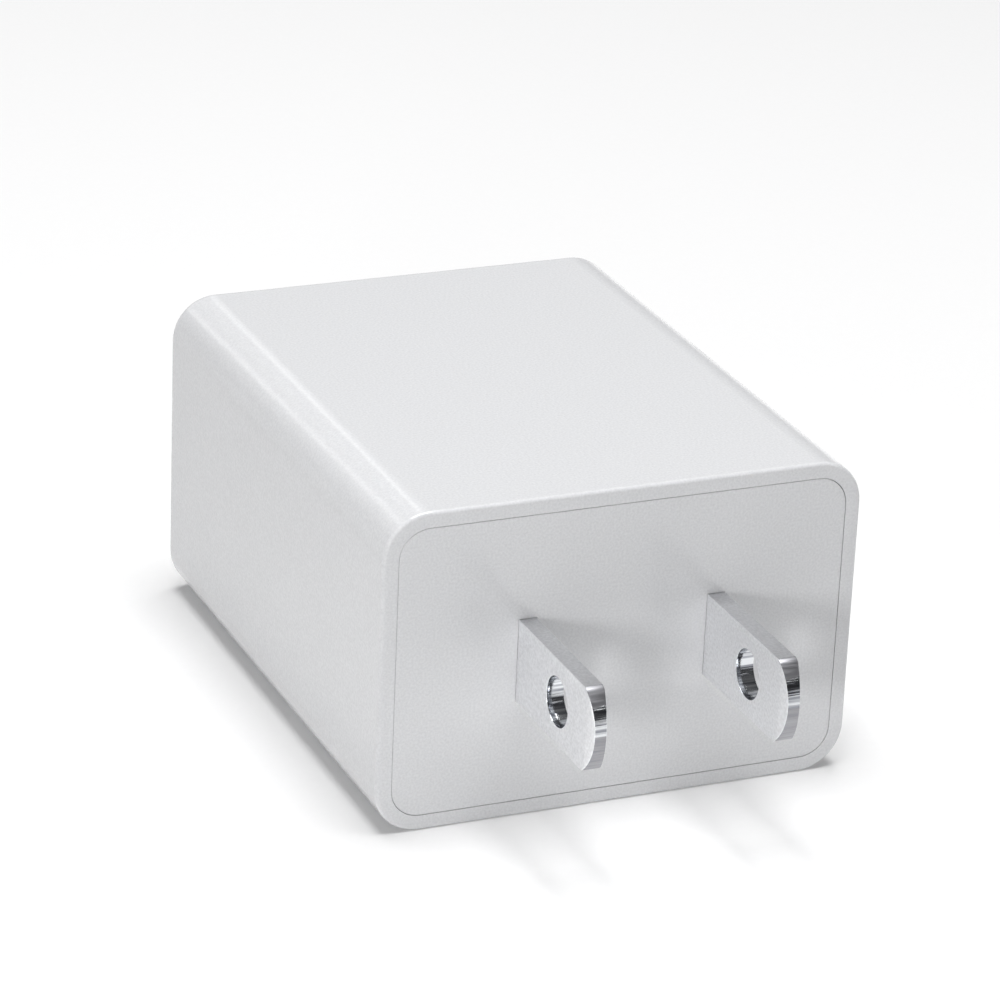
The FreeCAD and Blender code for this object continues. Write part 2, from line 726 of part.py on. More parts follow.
def usb_insulator():
    """The moulded block and tongue that carry the four contacts."""
    half_base = "(shell_width / 2 - shell_sheet - base_play)"
    half_height = "(shell_height / 2 - shell_sheet - base_play)"
    base = box(
        "insulator_base",
        (f"-{half_base}", BASE_BACK, f"-{half_height}"),
        (half_base, BASE_FRONT, half_height),
    )
    tongue = box(
        "insulator_tongue",
        ("-tongue_width / 2", f"{BASE_FRONT} - base_play", TONGUE_UNDER),
        ("tongue_width / 2", f"{BASE_FRONT} + tongue_reach", TONGUE_TOP),
    )
    slot_start = f"{BASE_FRONT} - pivot_inset"
    slot_finish = f"{BASE_FRONT} + tongue_reach - slot_end"
    half_channel = "(contact_thick / 2 + slot_play)"
    tools = []
    for k, x in enumerate(CONTACT_PLACES, start=1):
        low = (f"{x} - slot_width / 2", slot_start, f"{TONGUE_UNDER} - 2 * base_play")
        high = (f"{x} + slot_width / 2", slot_finish, f"{TONGUE_UNDER} + slot_depth")
        tools.append(box(f"insulator_slot_{k}", low, high))
        low = (f"{x} - contact_width / 2 - slot_play", SHELL_BACK, f"{PIVOT_Z} - {half_channel}")
        high = (f"{x} + contact_width / 2 + slot_play", BASE_FRONT, f"{PIVOT_Z} + {half_channel}")
        tools.append(box(f"insulator_channel_{k}", low, high))
    return cut("usb_insulator", fused("insulator_blank", [base, tongue]), tools)


def usb_contact(number_of, x):
    """One springy contact arm: it slopes down out of its slot to a bump, and its toe turns back up."""
    body = new_body(f"usb_contact_{number_of}")
    outline = sketch_on(body, "YZ_Plane", f"contact_outline_{number_of}")
    under = f"{PIVOT_Z} - contact_thick / 2"
    bump_y = f"{PIVOT_Y} + arm_reach"
    bump_z = f"{TONGUE_UNDER} - bump_drop"
    toe_y = f"{bump_y} + toe_reach"
    toe_z = f"{TONGUE_UNDER} + toe_rise"
    polygon(
        outline,
        [
            (PIVOT_Y, under),
            (f"{bump_y} - toe_reach / 3", bump_z),
            (f"{bump_y} + toe_reach / 3", bump_z),
            (toe_y, toe_z),
            (toe_y, f"{toe_z} + contact_thick"),
            (f"{bump_y} + toe_reach / 4", f"{bump_z} + contact_thick"),
            (f"{bump_y} - toe_reach / 4", f"{bump_z} + contact_thick"),
            (PIVOT_Y, f"{under} + contact_thick"),
        ],
        bulge="0.4 * contact_thick",
    )
    pad(body, outline, "contact_width", both_ways=True)
    place(body, x=x)
    return body


def usb_contact_tails():
    """The contacts' fixed ends: strips through the block that turn down through the board."""
    tails = []
    bend_near = f"{TAIL_BEND} - contact_thick / 2"
    bend_far = f"{TAIL_BEND} + contact_thick / 2"
    under = f"{PIVOT_Z} - contact_thick / 2"
    over = f"{PIVOT_Z} + contact_thick / 2"
    for k, x in enumerate(CONTACT_PLACES, start=1):
        strip = box(
            f"tail_strip_{k}",
            (f"{x} - contact_width / 2", bend_near, under),
            (f"{x} + contact_width / 2", f"{PIVOT_Y} - contact_thick", over),
        )
        pin = box(
            f"tail_pin_{k}",
            (f"{x} - contact_thick", bend_near, PIN_FOOT),
            (f"{x} + contact_thick", bend_far, over),
        )
        tails.append(fused(f"contact_tail_{k}", [strip, pin]))
    return grouped("usb_contact_tails", tails)


# ---- transformer ----

CORE_LOW = "(board_top + core_lift)"
CORE_MIDDLE = f"({CORE_LOW} + core_half)"
WINDOW_HALF = "(core_half - core_back)"
TUBE_X = "(core_post + 2 * core_play + 2 * tube_wall)"
TUBE_Y = "(core_depth + 2 * core_play + 2 * tube_wall)"
PIN_ROW = "(flange_depth - rail_depth) / 2"


def core_half(name, way):
    """One E-shaped ferrite half: a back, a centre leg and two outer legs. Way is + above, - below."""
    body = new_body(name)
    outline = sketch_on(body, "XZ_Plane", name + "_outline", offset="-core_y")
    leg = "core_width / 2 - core_leg"
    levels = ("0", WINDOW_HALF, "core_half")
    meeting, window, back = (f"{CORE_MIDDLE} {way} {level}" for level in levels)
    right = [
        ("core_width / 2", back),
        ("core_width / 2", meeting),
        (leg, meeting),
        (leg, window),
        ("core_post / 2", window),
        ("core_post / 2", meeting),
    ]
    corners = [(f"core_x + {x}", z) for x, z in right]
    corners += [(f"core_x - ({x})", z) for x, z in reversed(right)]
    polygon(outline, corners)
    pad(body, outline, "core_depth", both_ways=True)
    return body


def transformer_pin_places():
    """Two rows of pins, one under each of the bobbin's rails."""
    columns = [f"core_x + ({k} - 1.5) * pin_pitch" for k in range(4)]
    rows = [f"core_y {way} {PIN_ROW}" for way in ("-", "+")]
    return [(x, y) for y in rows for x in columns]


def transformer_bobbin():
    """The moulded former: a square tube with a flange at each end and two rails for the pins."""
    centre = ("core_x", "core_y")
    flange_x = "(core_width - 2 * core_leg - 2 * core_play)"
    window = f"2 * {WINDOW_HALF} - 2 * core_play"
    tube = centred_box("bobbin_tube", (*centre, CORE_MIDDLE), (TUBE_X, TUBE_Y, window))
    flanges = []
    for label, way in (("upper", "+"), ("lower", "-")):
        level = f"{CORE_MIDDLE} {way} ({WINDOW_HALF} - core_play - tube_wall / 2)"
        size = (flange_x, "flange_depth", "tube_wall")
        flanges.append(centred_box(f"bobbin_flange_{label}", (*centre, level), size))
    rails = []
    rail_top = f"({CORE_LOW} + core_back + core_play + tube_wall)"
    for label, way in (("front", "-"), ("back", "+")):
        middle = ("core_x", f"core_y {way} {PIN_ROW}", f"(board_top + {rail_top}) / 2")
        size = (flange_x, "rail_depth", f"{rail_top} - board_top")
        rails.append(centred_box(f"bobbin_rail_{label}", middle, size))
    blank = fused("bobbin_blank", [tube] + flanges + rails)
    bore_size = ("core_post + 2 * core_play", "core_depth + 2 * core_play", "4 * core_half")
    tools = [centred_box("bobbin_bore", (*centre, CORE_MIDDLE), bore_size)]
    for k, (x, y) in enumerate(transformer_pin_places(), start=1):
        start = (x, y, "board_top - pin_hold")
        tools.append(rod(f"bobbin_pin_hole_{k}", start, "pin_size / 2", "2 * pin_hold"))
    return cut("transformer_bobbin", blank, tools)


def transformer_pins():
    """The bobbin's pins, through the board."""
    pins = []
    for k, (x, y) in enumerate(transformer_pin_places(), start=1):
        height = "pin_below + board_thick + pin_hold"
        pins.append(rod(f"transformer_pin_{k}", (x, y, PIN_FOOT), "pin_size / 2", height))
    return grouped("transformer_pins", pins)


def winding(name, inside, build):
    """A layer wound about the bobbin's tube: it starts inside away from the tube and is build thick."""
    body = new_body(name)
    low = f"{CORE_MIDDLE} - {WINDOW_HALF} + core_play + tube_wall"
    sketch = sketch_on(body, "XY_Plane", name + "_section", offset=low)
    for grown in (f"({inside}) + ({build})", inside):
        rounded_rectangle(
            sketch,
            f"{TUBE_X} + 2 * ({grown})",
            f"{TUBE_Y} + 2 * ({grown})",
            f"winding_round + {grown}",
            ("core_x", "core_y"),
        )
    pad(body, sketch, f"2 * ({WINDOW_HALF} - core_play - tube_wall)")
    return body


# ---- other components ----

# each capacitor's centre on the board and how far its leads are from its axis
CAPACITOR_PLACES = {
    "bulk_capacitor_a": ("-bulk_place", "bulk_first", "bulk_spread"),
    "bulk_capacitor_b": ("-bulk_place", "bulk_second", "bulk_spread"),
    "output_capacitor_a": ("-output_place", "output_along", "output_spread"),
    "output_capacitor_b": ("output_place", "output_along", "output_spread"),
}

# each package's centre under the board, its case, how many leads it has on a side, and a lead's
# width, reach and thickness
PACKAGES = {
    "bridge_rectifier": (("0", "8"), ("4.7", "3.9", "1.5"), 2, ("0.6", "1.2", "0.2")),
    "controller_ic": (("-0.6", "17.4"), ("4.9", "3.9", "1.4"), 4, ("0.4", "1", "0.2")),
    "schottky_diode": (("0", "28"), ("2.6", "3.6", "2"), 1, ("1.4", "0.8", "0.2")),
}


def capacitor(name, diameter, height):
    """An upright electrolytic can with a rolled groove near its foot, a dished top and two leads."""
    x, y, spread = CAPACITOR_PLACES[name]
    body = new_body(name)
    profile = sketch_on(body, "XZ_Plane", name + "_profile")
    foot = "board_top + stand_off"
    rim = f"{foot} + {height}"
    wide = f"{diameter} / 2"
    polygon(
        profile,
        [
            ("0", foot),
            (wide, foot),
            (wide, f"{foot} + can_foot"),
            (f"{wide} - can_groove", f"{foot} + can_foot + can_groove"),
            (wide, f"{foot} + can_foot + 2 * can_groove"),
            (wide, f"{rim} - can_rim"),
            (f"{wide} - can_rim", rim),
            (f"{wide} - 3 * can_rim", rim),
            (f"{wide} - 4 * can_rim", f"{rim} - can_rim"),
            ("0", f"{rim} - can_rim"),
        ],
    )
    turned = body.newObject("PartDesign::Revolution", name + "_can")
    turned.Profile = profile
    turned.ReferenceAxis = (profile, ["V_Axis"])
    turned.Angle = 360
    document.recompute()
    leads = sketch_on(body, "XY_Plane", name + "_leads", offset=foot)
    for way in ("-", ""):
        circle(leads, f"{way}{spread}", "0", "pin_size / 2")
    pad(body, leads, "stand_off + board_thick + pin_below", backward=True)
    place(body, x=x, y=y)
    return body


def axial_part(name, centre, half_length, half_leads, along):
    """A barrel with wide ends lying along X or Y, and leads that turn down through the board."""
    x, y = centre
    level = "(board_top + stand_off + barrel_radius)"

    def beside(shift):
        return (f"{x} + ({shift})", y, level) if along == "x" else (x, f"{y} + ({shift})", level)

    cap = f"0.25 * {half_length}"
    barrel_end = beside(f"-{half_length}")
    pieces = [
        rod(f"{name}_barrel", barrel_end, "0.85 * barrel_radius", f"2 * {half_length}", along),
        rod(f"{name}_cap_start", barrel_end, "barrel_radius", cap, along),
        rod(f"{name}_cap_end", beside(f"{half_length} - {cap}"), "barrel_radius", cap, along),
        rod(f"{name}_wire", beside(f"-{half_leads}"), "0.45 * pin_size", f"2 * {half_leads}", along),
    ]
    for label, way in (("start", "-"), ("end", "")):
        foot_x, foot_y, top = beside(f"{way}{half_leads}")
        height = f"{top} + pin_size / 2 - {PIN_FOOT}"
        pieces.append(rod(f"{name}_leg_{label}", (foot_x, foot_y, PIN_FOOT), "pin_size / 2", height))
    return fused(name, pieces)


def y_capacitor():
    """A ceramic disc capacitor standing on edge beside the transformer."""
    level = "(board_top + 4 * stand_off + disc_radius)"
    face = ("side_place - disc_thick / 2", "disc_along", level)
    pieces = [rod("disc", face, "disc_radius", "disc_thick", "x")]
    for label, way in (("start", "-"), ("end", "+")):
        foot = ("side_place", f"disc_along {way} disc_lead", PIN_FOOT)
        pieces.append(rod(f"disc_lead_{label}", foot, "pin_size / 2", f"{level} - {PIN_FOOT}"))
    return fused("y_capacitor", pieces)


def package(name):
    """A moulded package on the board's underside with a row of flat leads along two sides."""
    (x, y), (wide, deep, high), leads, (lead_wide, lead_reach, lead_thick) = PACKAGES[name]
    case_top = "(board_top - board_thick - case_gap)"
    pieces = [centred_box(f"{name}_case", (x, y, f"{case_top} - {high} / 2"), (wide, deep, high))]
    for k in range(leads):
        centre = (f"{x} + ({k} - ({leads} - 1) / 2) * lead_pitch", y, case_top)
        size = (lead_wide, f"{deep} + 2 * {lead_reach}", lead_thick)
        pieces.append(centred_box(f"{name}_lead_{k + 1}", centre, size))
    return fused(name, pieces)


def chip_parts():
    """Small resistors and capacitors in two rows on the board's underside."""
    chips = []
    size = ("chip_width", "chip_length", "chip_height")
    level = "board_top - board_thick - chip_height / 2"
    for row in range(2):
        for column in range(5):
            centre = (f"({column} - 2) * chip_column", f"chip_start + {row} * chip_row", level)
            chips.append(centred_box(f"chip_{row}_{column}", centre, size))
    return grouped("chip_parts", chips)


def insulating_sheet():
    """A thin sheet on the cavity's floor, under the soldered side of the board."""
    half = f"({CAVITY_WIDTH}) / 2 - sheet_margin"
    floor = f"-({CAVITY_HEIGHT}) / 2"
    return box(
        "insulating_sheet",
        (f"-({half})", "rail_start", floor),
        (half, "body_length - end_wall - sheet_margin", f"{floor} + sheet_thick"),
    )


# ---- assembly ----


def sub_parts():
    """Makes every sub-part, in the order in which the charger goes together."""
    yield housing_shell()
    yield end_plate()
    for name, side in (("left", "-"), ("right", "")):
        yield blade(f"blade_{name}", side)
        yield blade_contact(f"blade_contact_{name}", side)
    yield main_pcb()
    yield usb_shell()
    yield usb_insulator()
    for k, x in enumerate(CONTACT_PLACES, start=1):
        yield usb_contact(k, x)
    yield usb_contact_tails()
    yield core_half("transformer_core_upper", "+")
    yield core_half("transformer_core_lower", "-")
    yield transformer_bobbin()
    yield transformer_pins()
    yield winding("primary_winding", "core_play", "primary_build")
    yield winding("secondary_winding", "core_play + primary_build", "secondary_build")
    yield winding("transformer_tape", "core_play + primary_build + secondary_build", "tape_build")
    for name in CAPACITOR_PLACES:
        kind = name.split("_")[0]
        yield capacitor(name, f"{kind}_size", f"{kind}_height")
    resistor_centre = ("0", "tail_depth")
    yield axial_part("fusible_resistor", resistor_centre, "resistor_half", "resistor_lead", "x")
    inductor_centre = ("side_place", "inductor_along")
    yield axial_part("input_inductor", inductor_centre, "inductor_half", "inductor_lead", "y")
    yield y_capacitor()
    for name in PACKAGES:
        yield package(name)
    yield chip_parts()
    yield insulating_sheet()


def check(parts):
    """Stops if any object of the document failed or any sub-part has no sound shape."""
    for thing in document.Objects:
        if {"Invalid", "Error"} & set(thing.State):
            raise RuntimeError(f"{thing.Label} failed: {thing.State}")
    for part in parts:
        if part.Shape.isNull() or not part.Shape.isValid() or not part.Shape.Solids:
            raise RuntimeError(f"{part.Label} has no sound solid")


def main():
    parts = list(sub_parts())
    for part in parts:
        part.Label = part.Name
    document.recompute()
    check(parts)
    os.makedirs("parts", exist_ok=True)
    for part in parts:
        part.Shape.exportStep(f"parts/{part.Label}.step")
        extent = part.Shape.BoundBox
        print(
            f"{part.Label:24} solids {len(part.Shape.Solids):2}  volume {part.Shape.Volume:9.2f}  "
            f"x {extent.XMin:7.2f} {extent.XMax:7.2f}  y {extent.YMin:7.2f} {extent.YMax:7.2f}  "
            f"z {extent.ZMin:7.2f} {extent.ZMax:7.2f}"
        )


main()
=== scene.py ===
import json
import math

import bmesh
import bpy
from mathutils import Matrix, Vector


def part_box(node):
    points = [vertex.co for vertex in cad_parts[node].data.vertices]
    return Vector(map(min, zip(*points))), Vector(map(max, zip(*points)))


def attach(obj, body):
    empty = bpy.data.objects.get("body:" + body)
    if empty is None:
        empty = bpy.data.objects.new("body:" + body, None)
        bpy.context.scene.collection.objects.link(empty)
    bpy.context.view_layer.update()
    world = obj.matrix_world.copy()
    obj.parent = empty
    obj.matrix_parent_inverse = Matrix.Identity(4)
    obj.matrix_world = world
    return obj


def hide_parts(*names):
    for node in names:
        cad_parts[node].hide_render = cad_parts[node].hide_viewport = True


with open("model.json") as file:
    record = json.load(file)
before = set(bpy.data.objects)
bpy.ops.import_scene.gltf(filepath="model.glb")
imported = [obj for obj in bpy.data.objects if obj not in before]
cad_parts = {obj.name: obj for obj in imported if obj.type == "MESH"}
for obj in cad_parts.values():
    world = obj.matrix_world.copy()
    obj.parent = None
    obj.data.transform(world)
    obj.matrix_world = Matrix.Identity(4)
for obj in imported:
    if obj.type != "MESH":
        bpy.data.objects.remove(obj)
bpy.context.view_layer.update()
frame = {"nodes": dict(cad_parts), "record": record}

# The casing's box, which the lamps and the camera are placed by, in metres.
LOW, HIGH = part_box("housing_shell")
CENTRE = (LOW + HIGH) / 2
LENGTH = HIGH.y - LOW.y
MM = 0.001


# ---- materials ----


class Surface:
    """A material built round one Principled shader, with short ways to add nodes to it."""

    def __init__(self, name, colour, roughness, metallic=0.0):
        self.material = bpy.data.materials.new(name)
        self.material.use_nodes = True
        self.nodes = self.material.node_tree.nodes
        self.links = self.material.node_tree.links
        self.shader = self.nodes["Principled BSDF"]
        self.shader.inputs["Base Color"].default_value = (*colour, 1.0)
        self.shader.inputs["Roughness"].default_value = roughness
        self.shader.inputs["Metallic"].default_value = metallic
        self.place = self.nodes.new("ShaderNodeTexCoord").outputs["Object"]

    def join(self, source, socket):
        self.links.new(source, socket)

    def noise(self, grain, detail=2.0, stretch=(1.0, 1.0, 1.0)):
        """Noise whose features are about grain metres across, drawn out along the axes by stretch."""
        mapping = self.nodes.new("ShaderNodeMapping")
        mapping.inputs["Scale"].default_value = [1.0 / (grain * s) for s in stretch]
        self.join(self.place, mapping.inputs["Vector"])
        noise = self.nodes.new("ShaderNodeTexNoise")
        noise.inputs["Scale"].default_value = 1.0
        noise.inputs["Detail"].default_value = detail
        self.join(mapping.outputs["Vector"], noise.inputs["Vector"])
        return noise.outputs["Fac"]

    def spread(self, factor, low, high, start=0.3, end=0.7):
        """A factor's range from start to end, mapped to low and high."""
        node = self.nodes.new("ShaderNodeMapRange")
        for name, value in (("From Min", start), ("From Max", end), ("To Min", low), ("To Max", high)):
            node.inputs[name].default_value = value
        self.join(factor, node.inputs["Value"])
        return node.outputs["Result"]

    def blend(self, factor, first, second):
        """A colour between two, where each is a colour or another node's output."""
        node = self.nodes.new("ShaderNodeMix")
        node.data_type = "RGBA"
        self.join(factor, node.inputs["Factor"])
        colours = [s for s in node.inputs if s.type == "RGBA"]
        for socket, colour in zip(colours, (first, second)):
            if isinstance(colour, tuple):
                socket.default_value = (*colour, 1.0)
            else:
                self.join(colour, socket)
        return next(s for s in node.outputs if s.type == "RGBA")

    def bump(self, height, depth, under=None):
        """A normal raised by a height of 0 to 1 over depth metres, on top of another bump if given."""
        node = self.nodes.new("ShaderNodeBump")
        node.inputs["Distance"].default_value = depth
        self.join(height, node.inputs["Height"])
        if under:
            self.join(under, node.inputs["Normal"])
        return node.outputs["Normal"]

    def use(self, **sockets):
        """Joins outputs to the shader's inputs, named with underscores for spaces."""
        for name, output in sockets.items():
            self.join(output, self.shader.inputs[name.replace("_", " ")])
        return self.material


def casing_plastic():
    """White moulded plastic: glossy, with a fine grain and faint clouds in its gloss."""
    s = Surface("casing_plastic", (0.705, 0.71, 0.722), 0.14)
    s.shader.inputs["Subsurface Weight"].default_value = 0.1
    s.shader.inputs["Subsurface Radius"].default_value = (1.0, 0.95, 0.9)
    s.shader.inputs["Subsurface Scale"].default_value = 0.3 * MM
    cloud = s.noise(5 * MM, 2.0)
    grain = s.noise(0.15 * MM, 2.0)
    return s.use(
        Base_Color=s.blend(s.spread(grain, 0.0, 1.0), (0.66, 0.664, 0.678), (0.745, 0.75, 0.762)),
        Roughness=s.spread(cloud, 0.095, 0.12),
        Normal=s.bump(grain, 0.01 * MM),
    )


def satin(name, colour, roughness, metallic):
    """Bead-blasted nickel plate: pearly, with a fine sparkle and faint rubbed patches."""
    s = Surface(name, colour, roughness, metallic)
    grain = s.noise(0.18 * MM, 3.0)
    rubbed = s.noise(1.2 * MM, 3.0, (1.0, 1.0, 2.5))
    darker, lighter = (tuple(share * c for c in colour) for share in (0.9, 1.08))
    return s.use(
        Base_Color=s.blend(s.spread(grain, 0.0, 1.0), darker, lighter),
        Roughness=s.spread(rubbed, 0.9 * roughness, 1.15 * roughness),
        Normal=s.bump(grain, 0.008 * MM),
    )


def punched(name, dark, bright, roughness, relief):
    """Plate over a punched face, with burnish lines along the way the punch went."""
    s = Surface(name, bright, roughness, 1.0)
    lines = s.noise(0.22 * MM, 3.0, (40.0, 1.0, 1.0))
    fine = s.noise(0.08 * MM, 1.0, (20.0, 1.0, 1.0))
    return s.use(
        Base_Color=s.blend(s.spread(lines, 0.0, 1.0, 0.4, 0.6), dark, bright),
        Roughness=s.spread(fine, 0.8 * roughness, 1.4 * roughness),
        Normal=s.bump(lines, relief, s.bump(fine, 0.002 * MM)),
    )


def sheet_metal(name, colour, roughness, along=(1.0, 10.0, 1.0)):
    """Rolled, plated sheet: fine lines along the way it was rolled."""
    s = Surface(name, colour, roughness, 1.0)
    lines = s.noise(0.08 * MM, 2.0, along)
    stain = s.noise(2 * MM, 3.0)
    darker = tuple(0.85 * c for c in colour)
    return s.use(
        Base_Color=s.blend(stain, darker, colour),
        Roughness=s.spread(lines, roughness * 0.8, roughness * 1.3),
        Normal=s.bump(lines, 0.002 * MM),
    )


def moulded(name, colour, roughness, grain=0.15 * MM):
    """A moulded or dipped insulating part: slight grain, and a little change of tone."""
    s = Surface(name, colour, roughness)
    spots = s.noise(grain, 3.0)
    cloud = s.noise(1.5 * MM, 2.0)
    lighter = tuple(min(1.0, 1.25 * c + 0.01) for c in colour)
    return s.use(
        Base_Color=s.blend(cloud, colour, lighter),
        Roughness=s.spread(spots, roughness * 0.85, min(1.0, roughness * 1.2)),
        Normal=s.bump(spots, 0.005 * MM),
    )


def wound_wire():
    """Layers of enamelled copper wire, side by side up the bobbin, painted darker in the grooves between
    turns as shade.
    """
    s = Surface("magnet_wire", (0.62, 0.27, 0.10), 0.25, 1.0)
    wave = s.nodes.new("ShaderNodeTexWave")
    wave.bands_direction = "Z"
    wire_thick = 0.25 * MM
    wave_rate = 20  # radians a metre, which the wave node has at a scale of 1
    wave.inputs["Scale"].default_value = 2 * math.pi / (wave_rate * wire_thick)
    s.join(s.place, wave.inputs["Vector"])
    ridges_and_groove_shade = wave.outputs["Fac"]
    # The copper's colour darkens into the grooves between turns: painted shade.
    colour = s.blend(ridges_and_groove_shade, (0.25, 0.08, 0.03), (0.72, 0.33, 0.14))
    return s.use(Base_Color=colour, Normal=s.bump(ridges_and_groove_shade, 0.05 * MM))


MATERIALS = {
    "casing_plastic": casing_plastic,
    "blade_plate": lambda: satin("blade_flat", (0.87, 0.875, 0.89), 0.46, 0.7),
    "spring_bronze": lambda: sheet_metal("spring_bronze", (0.72, 0.50, 0.28), 0.3, (1.0, 1.0, 8.0)),
    "board_laminate": lambda: moulded("board_laminate", (0.03, 0.16, 0.06), 0.35, 0.4 * MM),
    "receptacle_steel": lambda: sheet_metal("receptacle_steel", (0.72, 0.72, 0.73), 0.32),
    "receptacle_moulding": lambda: moulded("receptacle_moulding", (0.02, 0.02, 0.022), 0.45),
    "contact_gold": lambda: sheet_metal("contact_gold", (0.86, 0.62, 0.27), 0.2),
    "ferrite": lambda: moulded("ferrite", (0.05, 0.05, 0.055), 0.7, 0.1 * MM),
    "bobbin_moulding": lambda: moulded("bobbin_moulding", (0.03, 0.03, 0.03), 0.5),
    "magnet_wire": wound_wire,
    "winding_tape": lambda: moulded("winding_tape", (0.80, 0.55, 0.05), 0.3, 0.5 * MM),
    "tinned_pin": lambda: sheet_metal("tinned_pin", (0.68, 0.68, 0.66), 0.35, (1.0, 1.0, 6.0)),
    "capacitor_sleeve": lambda: moulded("capacitor_sleeve", (0.02, 0.03, 0.07), 0.3, 0.5 * MM),
    "resistor_coat": lambda: moulded("resistor_coat", (0.20, 0.34, 0.40), 0.4),
    "inductor_coat": lambda: moulded("inductor_coat", (0.05, 0.18, 0.08), 0.3),
    "disc_coat": lambda: moulded("disc_coat", (0.02, 0.10, 0.38), 0.3),
    "package_epoxy": lambda: moulded("package_epoxy", (0.02, 0.02, 0.022), 0.55, 0.1 * MM),
    "chip_ceramic": lambda: moulded("chip_ceramic", (0.38, 0.30, 0.22), 0.5, 0.1 * MM),
    "sheet_film": lambda: moulded("sheet_film", (0.72, 0.70, 0.60), 0.4, 0.3 * MM),
}


# Each CAD node's material slot and body, and the material made for each slot.
SLOTS = {part["node"]: part["material_slot"] for part in frame["record"]["subparts"]}
BODIES = {node: body for body, nodes in frame["record"]["behaviour"]["bodies"].items() for node in nodes}
FINISHES = {slot: make() for slot, make in MATERIALS.items()}
SPRING_CONTACTS = [node for node, body in BODIES.items() if body.startswith("contact_")]

# A blade's other materials, besides its slot's own, which is on its flats. The bright burnished plate and
# the dull dark plate also split the tip by height: a painted reflection on its upper half and painted shade
# on its lower half.
BURNISHED_AND_GLINT = punched("blade_burnished_and_glint", (0.3, 0.31, 0.34), (0.76, 0.78, 0.8), 0.1, 0.025 * MM)
TORN_AND_SHADE = punched("blade_torn_and_shade", (0.33, 0.33, 0.35), (0.39, 0.39, 0.41), 0.45, 0.004 * MM)
LONG_EDGE = satin("blade_edge", (0.7, 0.705, 0.72), 0.32, 1.0)


def finish_nodes():
    """Gives every CAD node the material of its slot."""
    for node, slot in SLOTS.items():
        mesh = frame["nodes"][node].data
        mesh.materials.clear()
        mesh.materials.append(FINISHES[slot])


# ---- pieces that take a CAD node's place ----

# Points closer than WELD are one, and faces closer in angle than FLAT_ANGLE are one. Edges sharper than
# SHARP_ANGLE are rounded, in ROUND_STEPS steps.
WELD = 0.001 * MM
FLAT_ANGLE = math.radians(0.5)
SHARP_ANGLE = math.radians(28)
ROUND_STEPS = 3

# How far the edges of each replaced piece are rounded.
BLADE_ROUND = 0.07 * MM
SHELL_ROUND = 0.06 * MM
INSULATOR_ROUND = 0.12 * MM
CONTACT_ROUND = 0.05 * MM


def softened(node, radius):
    """A copy of a CAD node with its outward edges rounded, which takes the node's place."""
    work = bmesh.new()
    work.from_mesh(frame["nodes"][node].data)
    bmesh.ops.remove_doubles(work, verts=work.verts, dist=WELD)
    bmesh.ops.dissolve_limit(work, angle_limit=FLAT_ANGLE, verts=work.verts, edges=work.edges)
    outward = [edge for edge in work.edges if edge.is_manifold and edge.is_convex]
    sharp = [edge for edge in outward if edge.calc_face_angle() > SHARP_ANGLE]
    bmesh.ops.bevel(
        work,
        geom=sharp,
        offset=radius,
        segments=ROUND_STEPS,
        profile=0.5,
        affect="EDGES",
        clamp_overlap=True,
    )
    mesh = bpy.data.meshes.new(node + "_fine")
    work.to_mesh(mesh)
    work.free()
    mesh.shade_smooth()
    mesh.materials.append(FINISHES[SLOTS[node]])
    piece = bpy.data.objects.new(node + "_fine", mesh)
    bpy.context.scene.collection.objects.link(piece)
    level = piece.modifiers.new("even_normals", "WEIGHTED_NORMAL")
    level.weight = 100
    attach(piece, BODIES[node])
    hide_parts(node)
    return piece


# Where a blade's material changes, by a face's normal: its X on the flats, its Y on the tip and its corners.
# A face belongs to the hole's wall if it is within the hole's radius times HOLE_MARGIN.
FLAT_X = 0.3
TIP_Y = -0.88
CORNER_Y = -0.15
HOLE_MARGIN = 1.01


def blade(side):
    """A blade with rounded edges: its hole's wall is burnished bright, and the upper half of its tip is
    given the same bright plate as a painted reflection, its lower half a dull dark plate as painted shade.
    """
    node = "blade_" + side
    piece = softened(node, BLADE_ROUND)
    on_flat, bright, matt_and_painted_shade, on_edge = range(4)
    for finish in (BURNISHED_AND_GLINT, TORN_AND_SHADE, LONG_EDGE):
        piece.data.materials.append(finish)
    hole = next(m for m in frame["record"]["mounts"] if m["name"] == "blade_hole_" + side)
    centre = Vector(hole["pos_m"])
    reach = HOLE_MARGIN * hole["dims"]["r_mm"] * MM
    for face in piece.data.polygons:
        middle = face.center
        if abs(face.normal.x) > FLAT_X:
            face.material_index = on_flat
        elif math.hypot(middle.y - centre.y, middle.z - centre.z) < reach:
            face.material_index = bright
        # On the tip, the upper half gets the bright plate as a painted reflection of the lamps above, and
        # the lower half the dull dark plate as painted shade.
        elif face.normal.y < TIP_Y:
            face.material_index = bright if middle.z > centre.z else matt_and_painted_shade
        elif face.normal.y < CORNER_Y:
            face.material_index = matt_and_painted_shade
        else:
            face.material_index = on_edge


# ---- stage ----

# The floor's half width in metres and its glow, and the lamps' distances in casing lengths.
FLOOR_HALF = 40 * LENGTH
FLOOR_GLOW = 0.12
LAMP_DISTANCE = 15.0
LOW_LAMP_DISTANCE = 5.0

# The room's grey from the horizon to straight up, by the height of a unit vector.
ROOM_GREYS = ((0.0, 0.35), (0.06, 0.3), (0.12, 0.05), (1.0, 0.13))


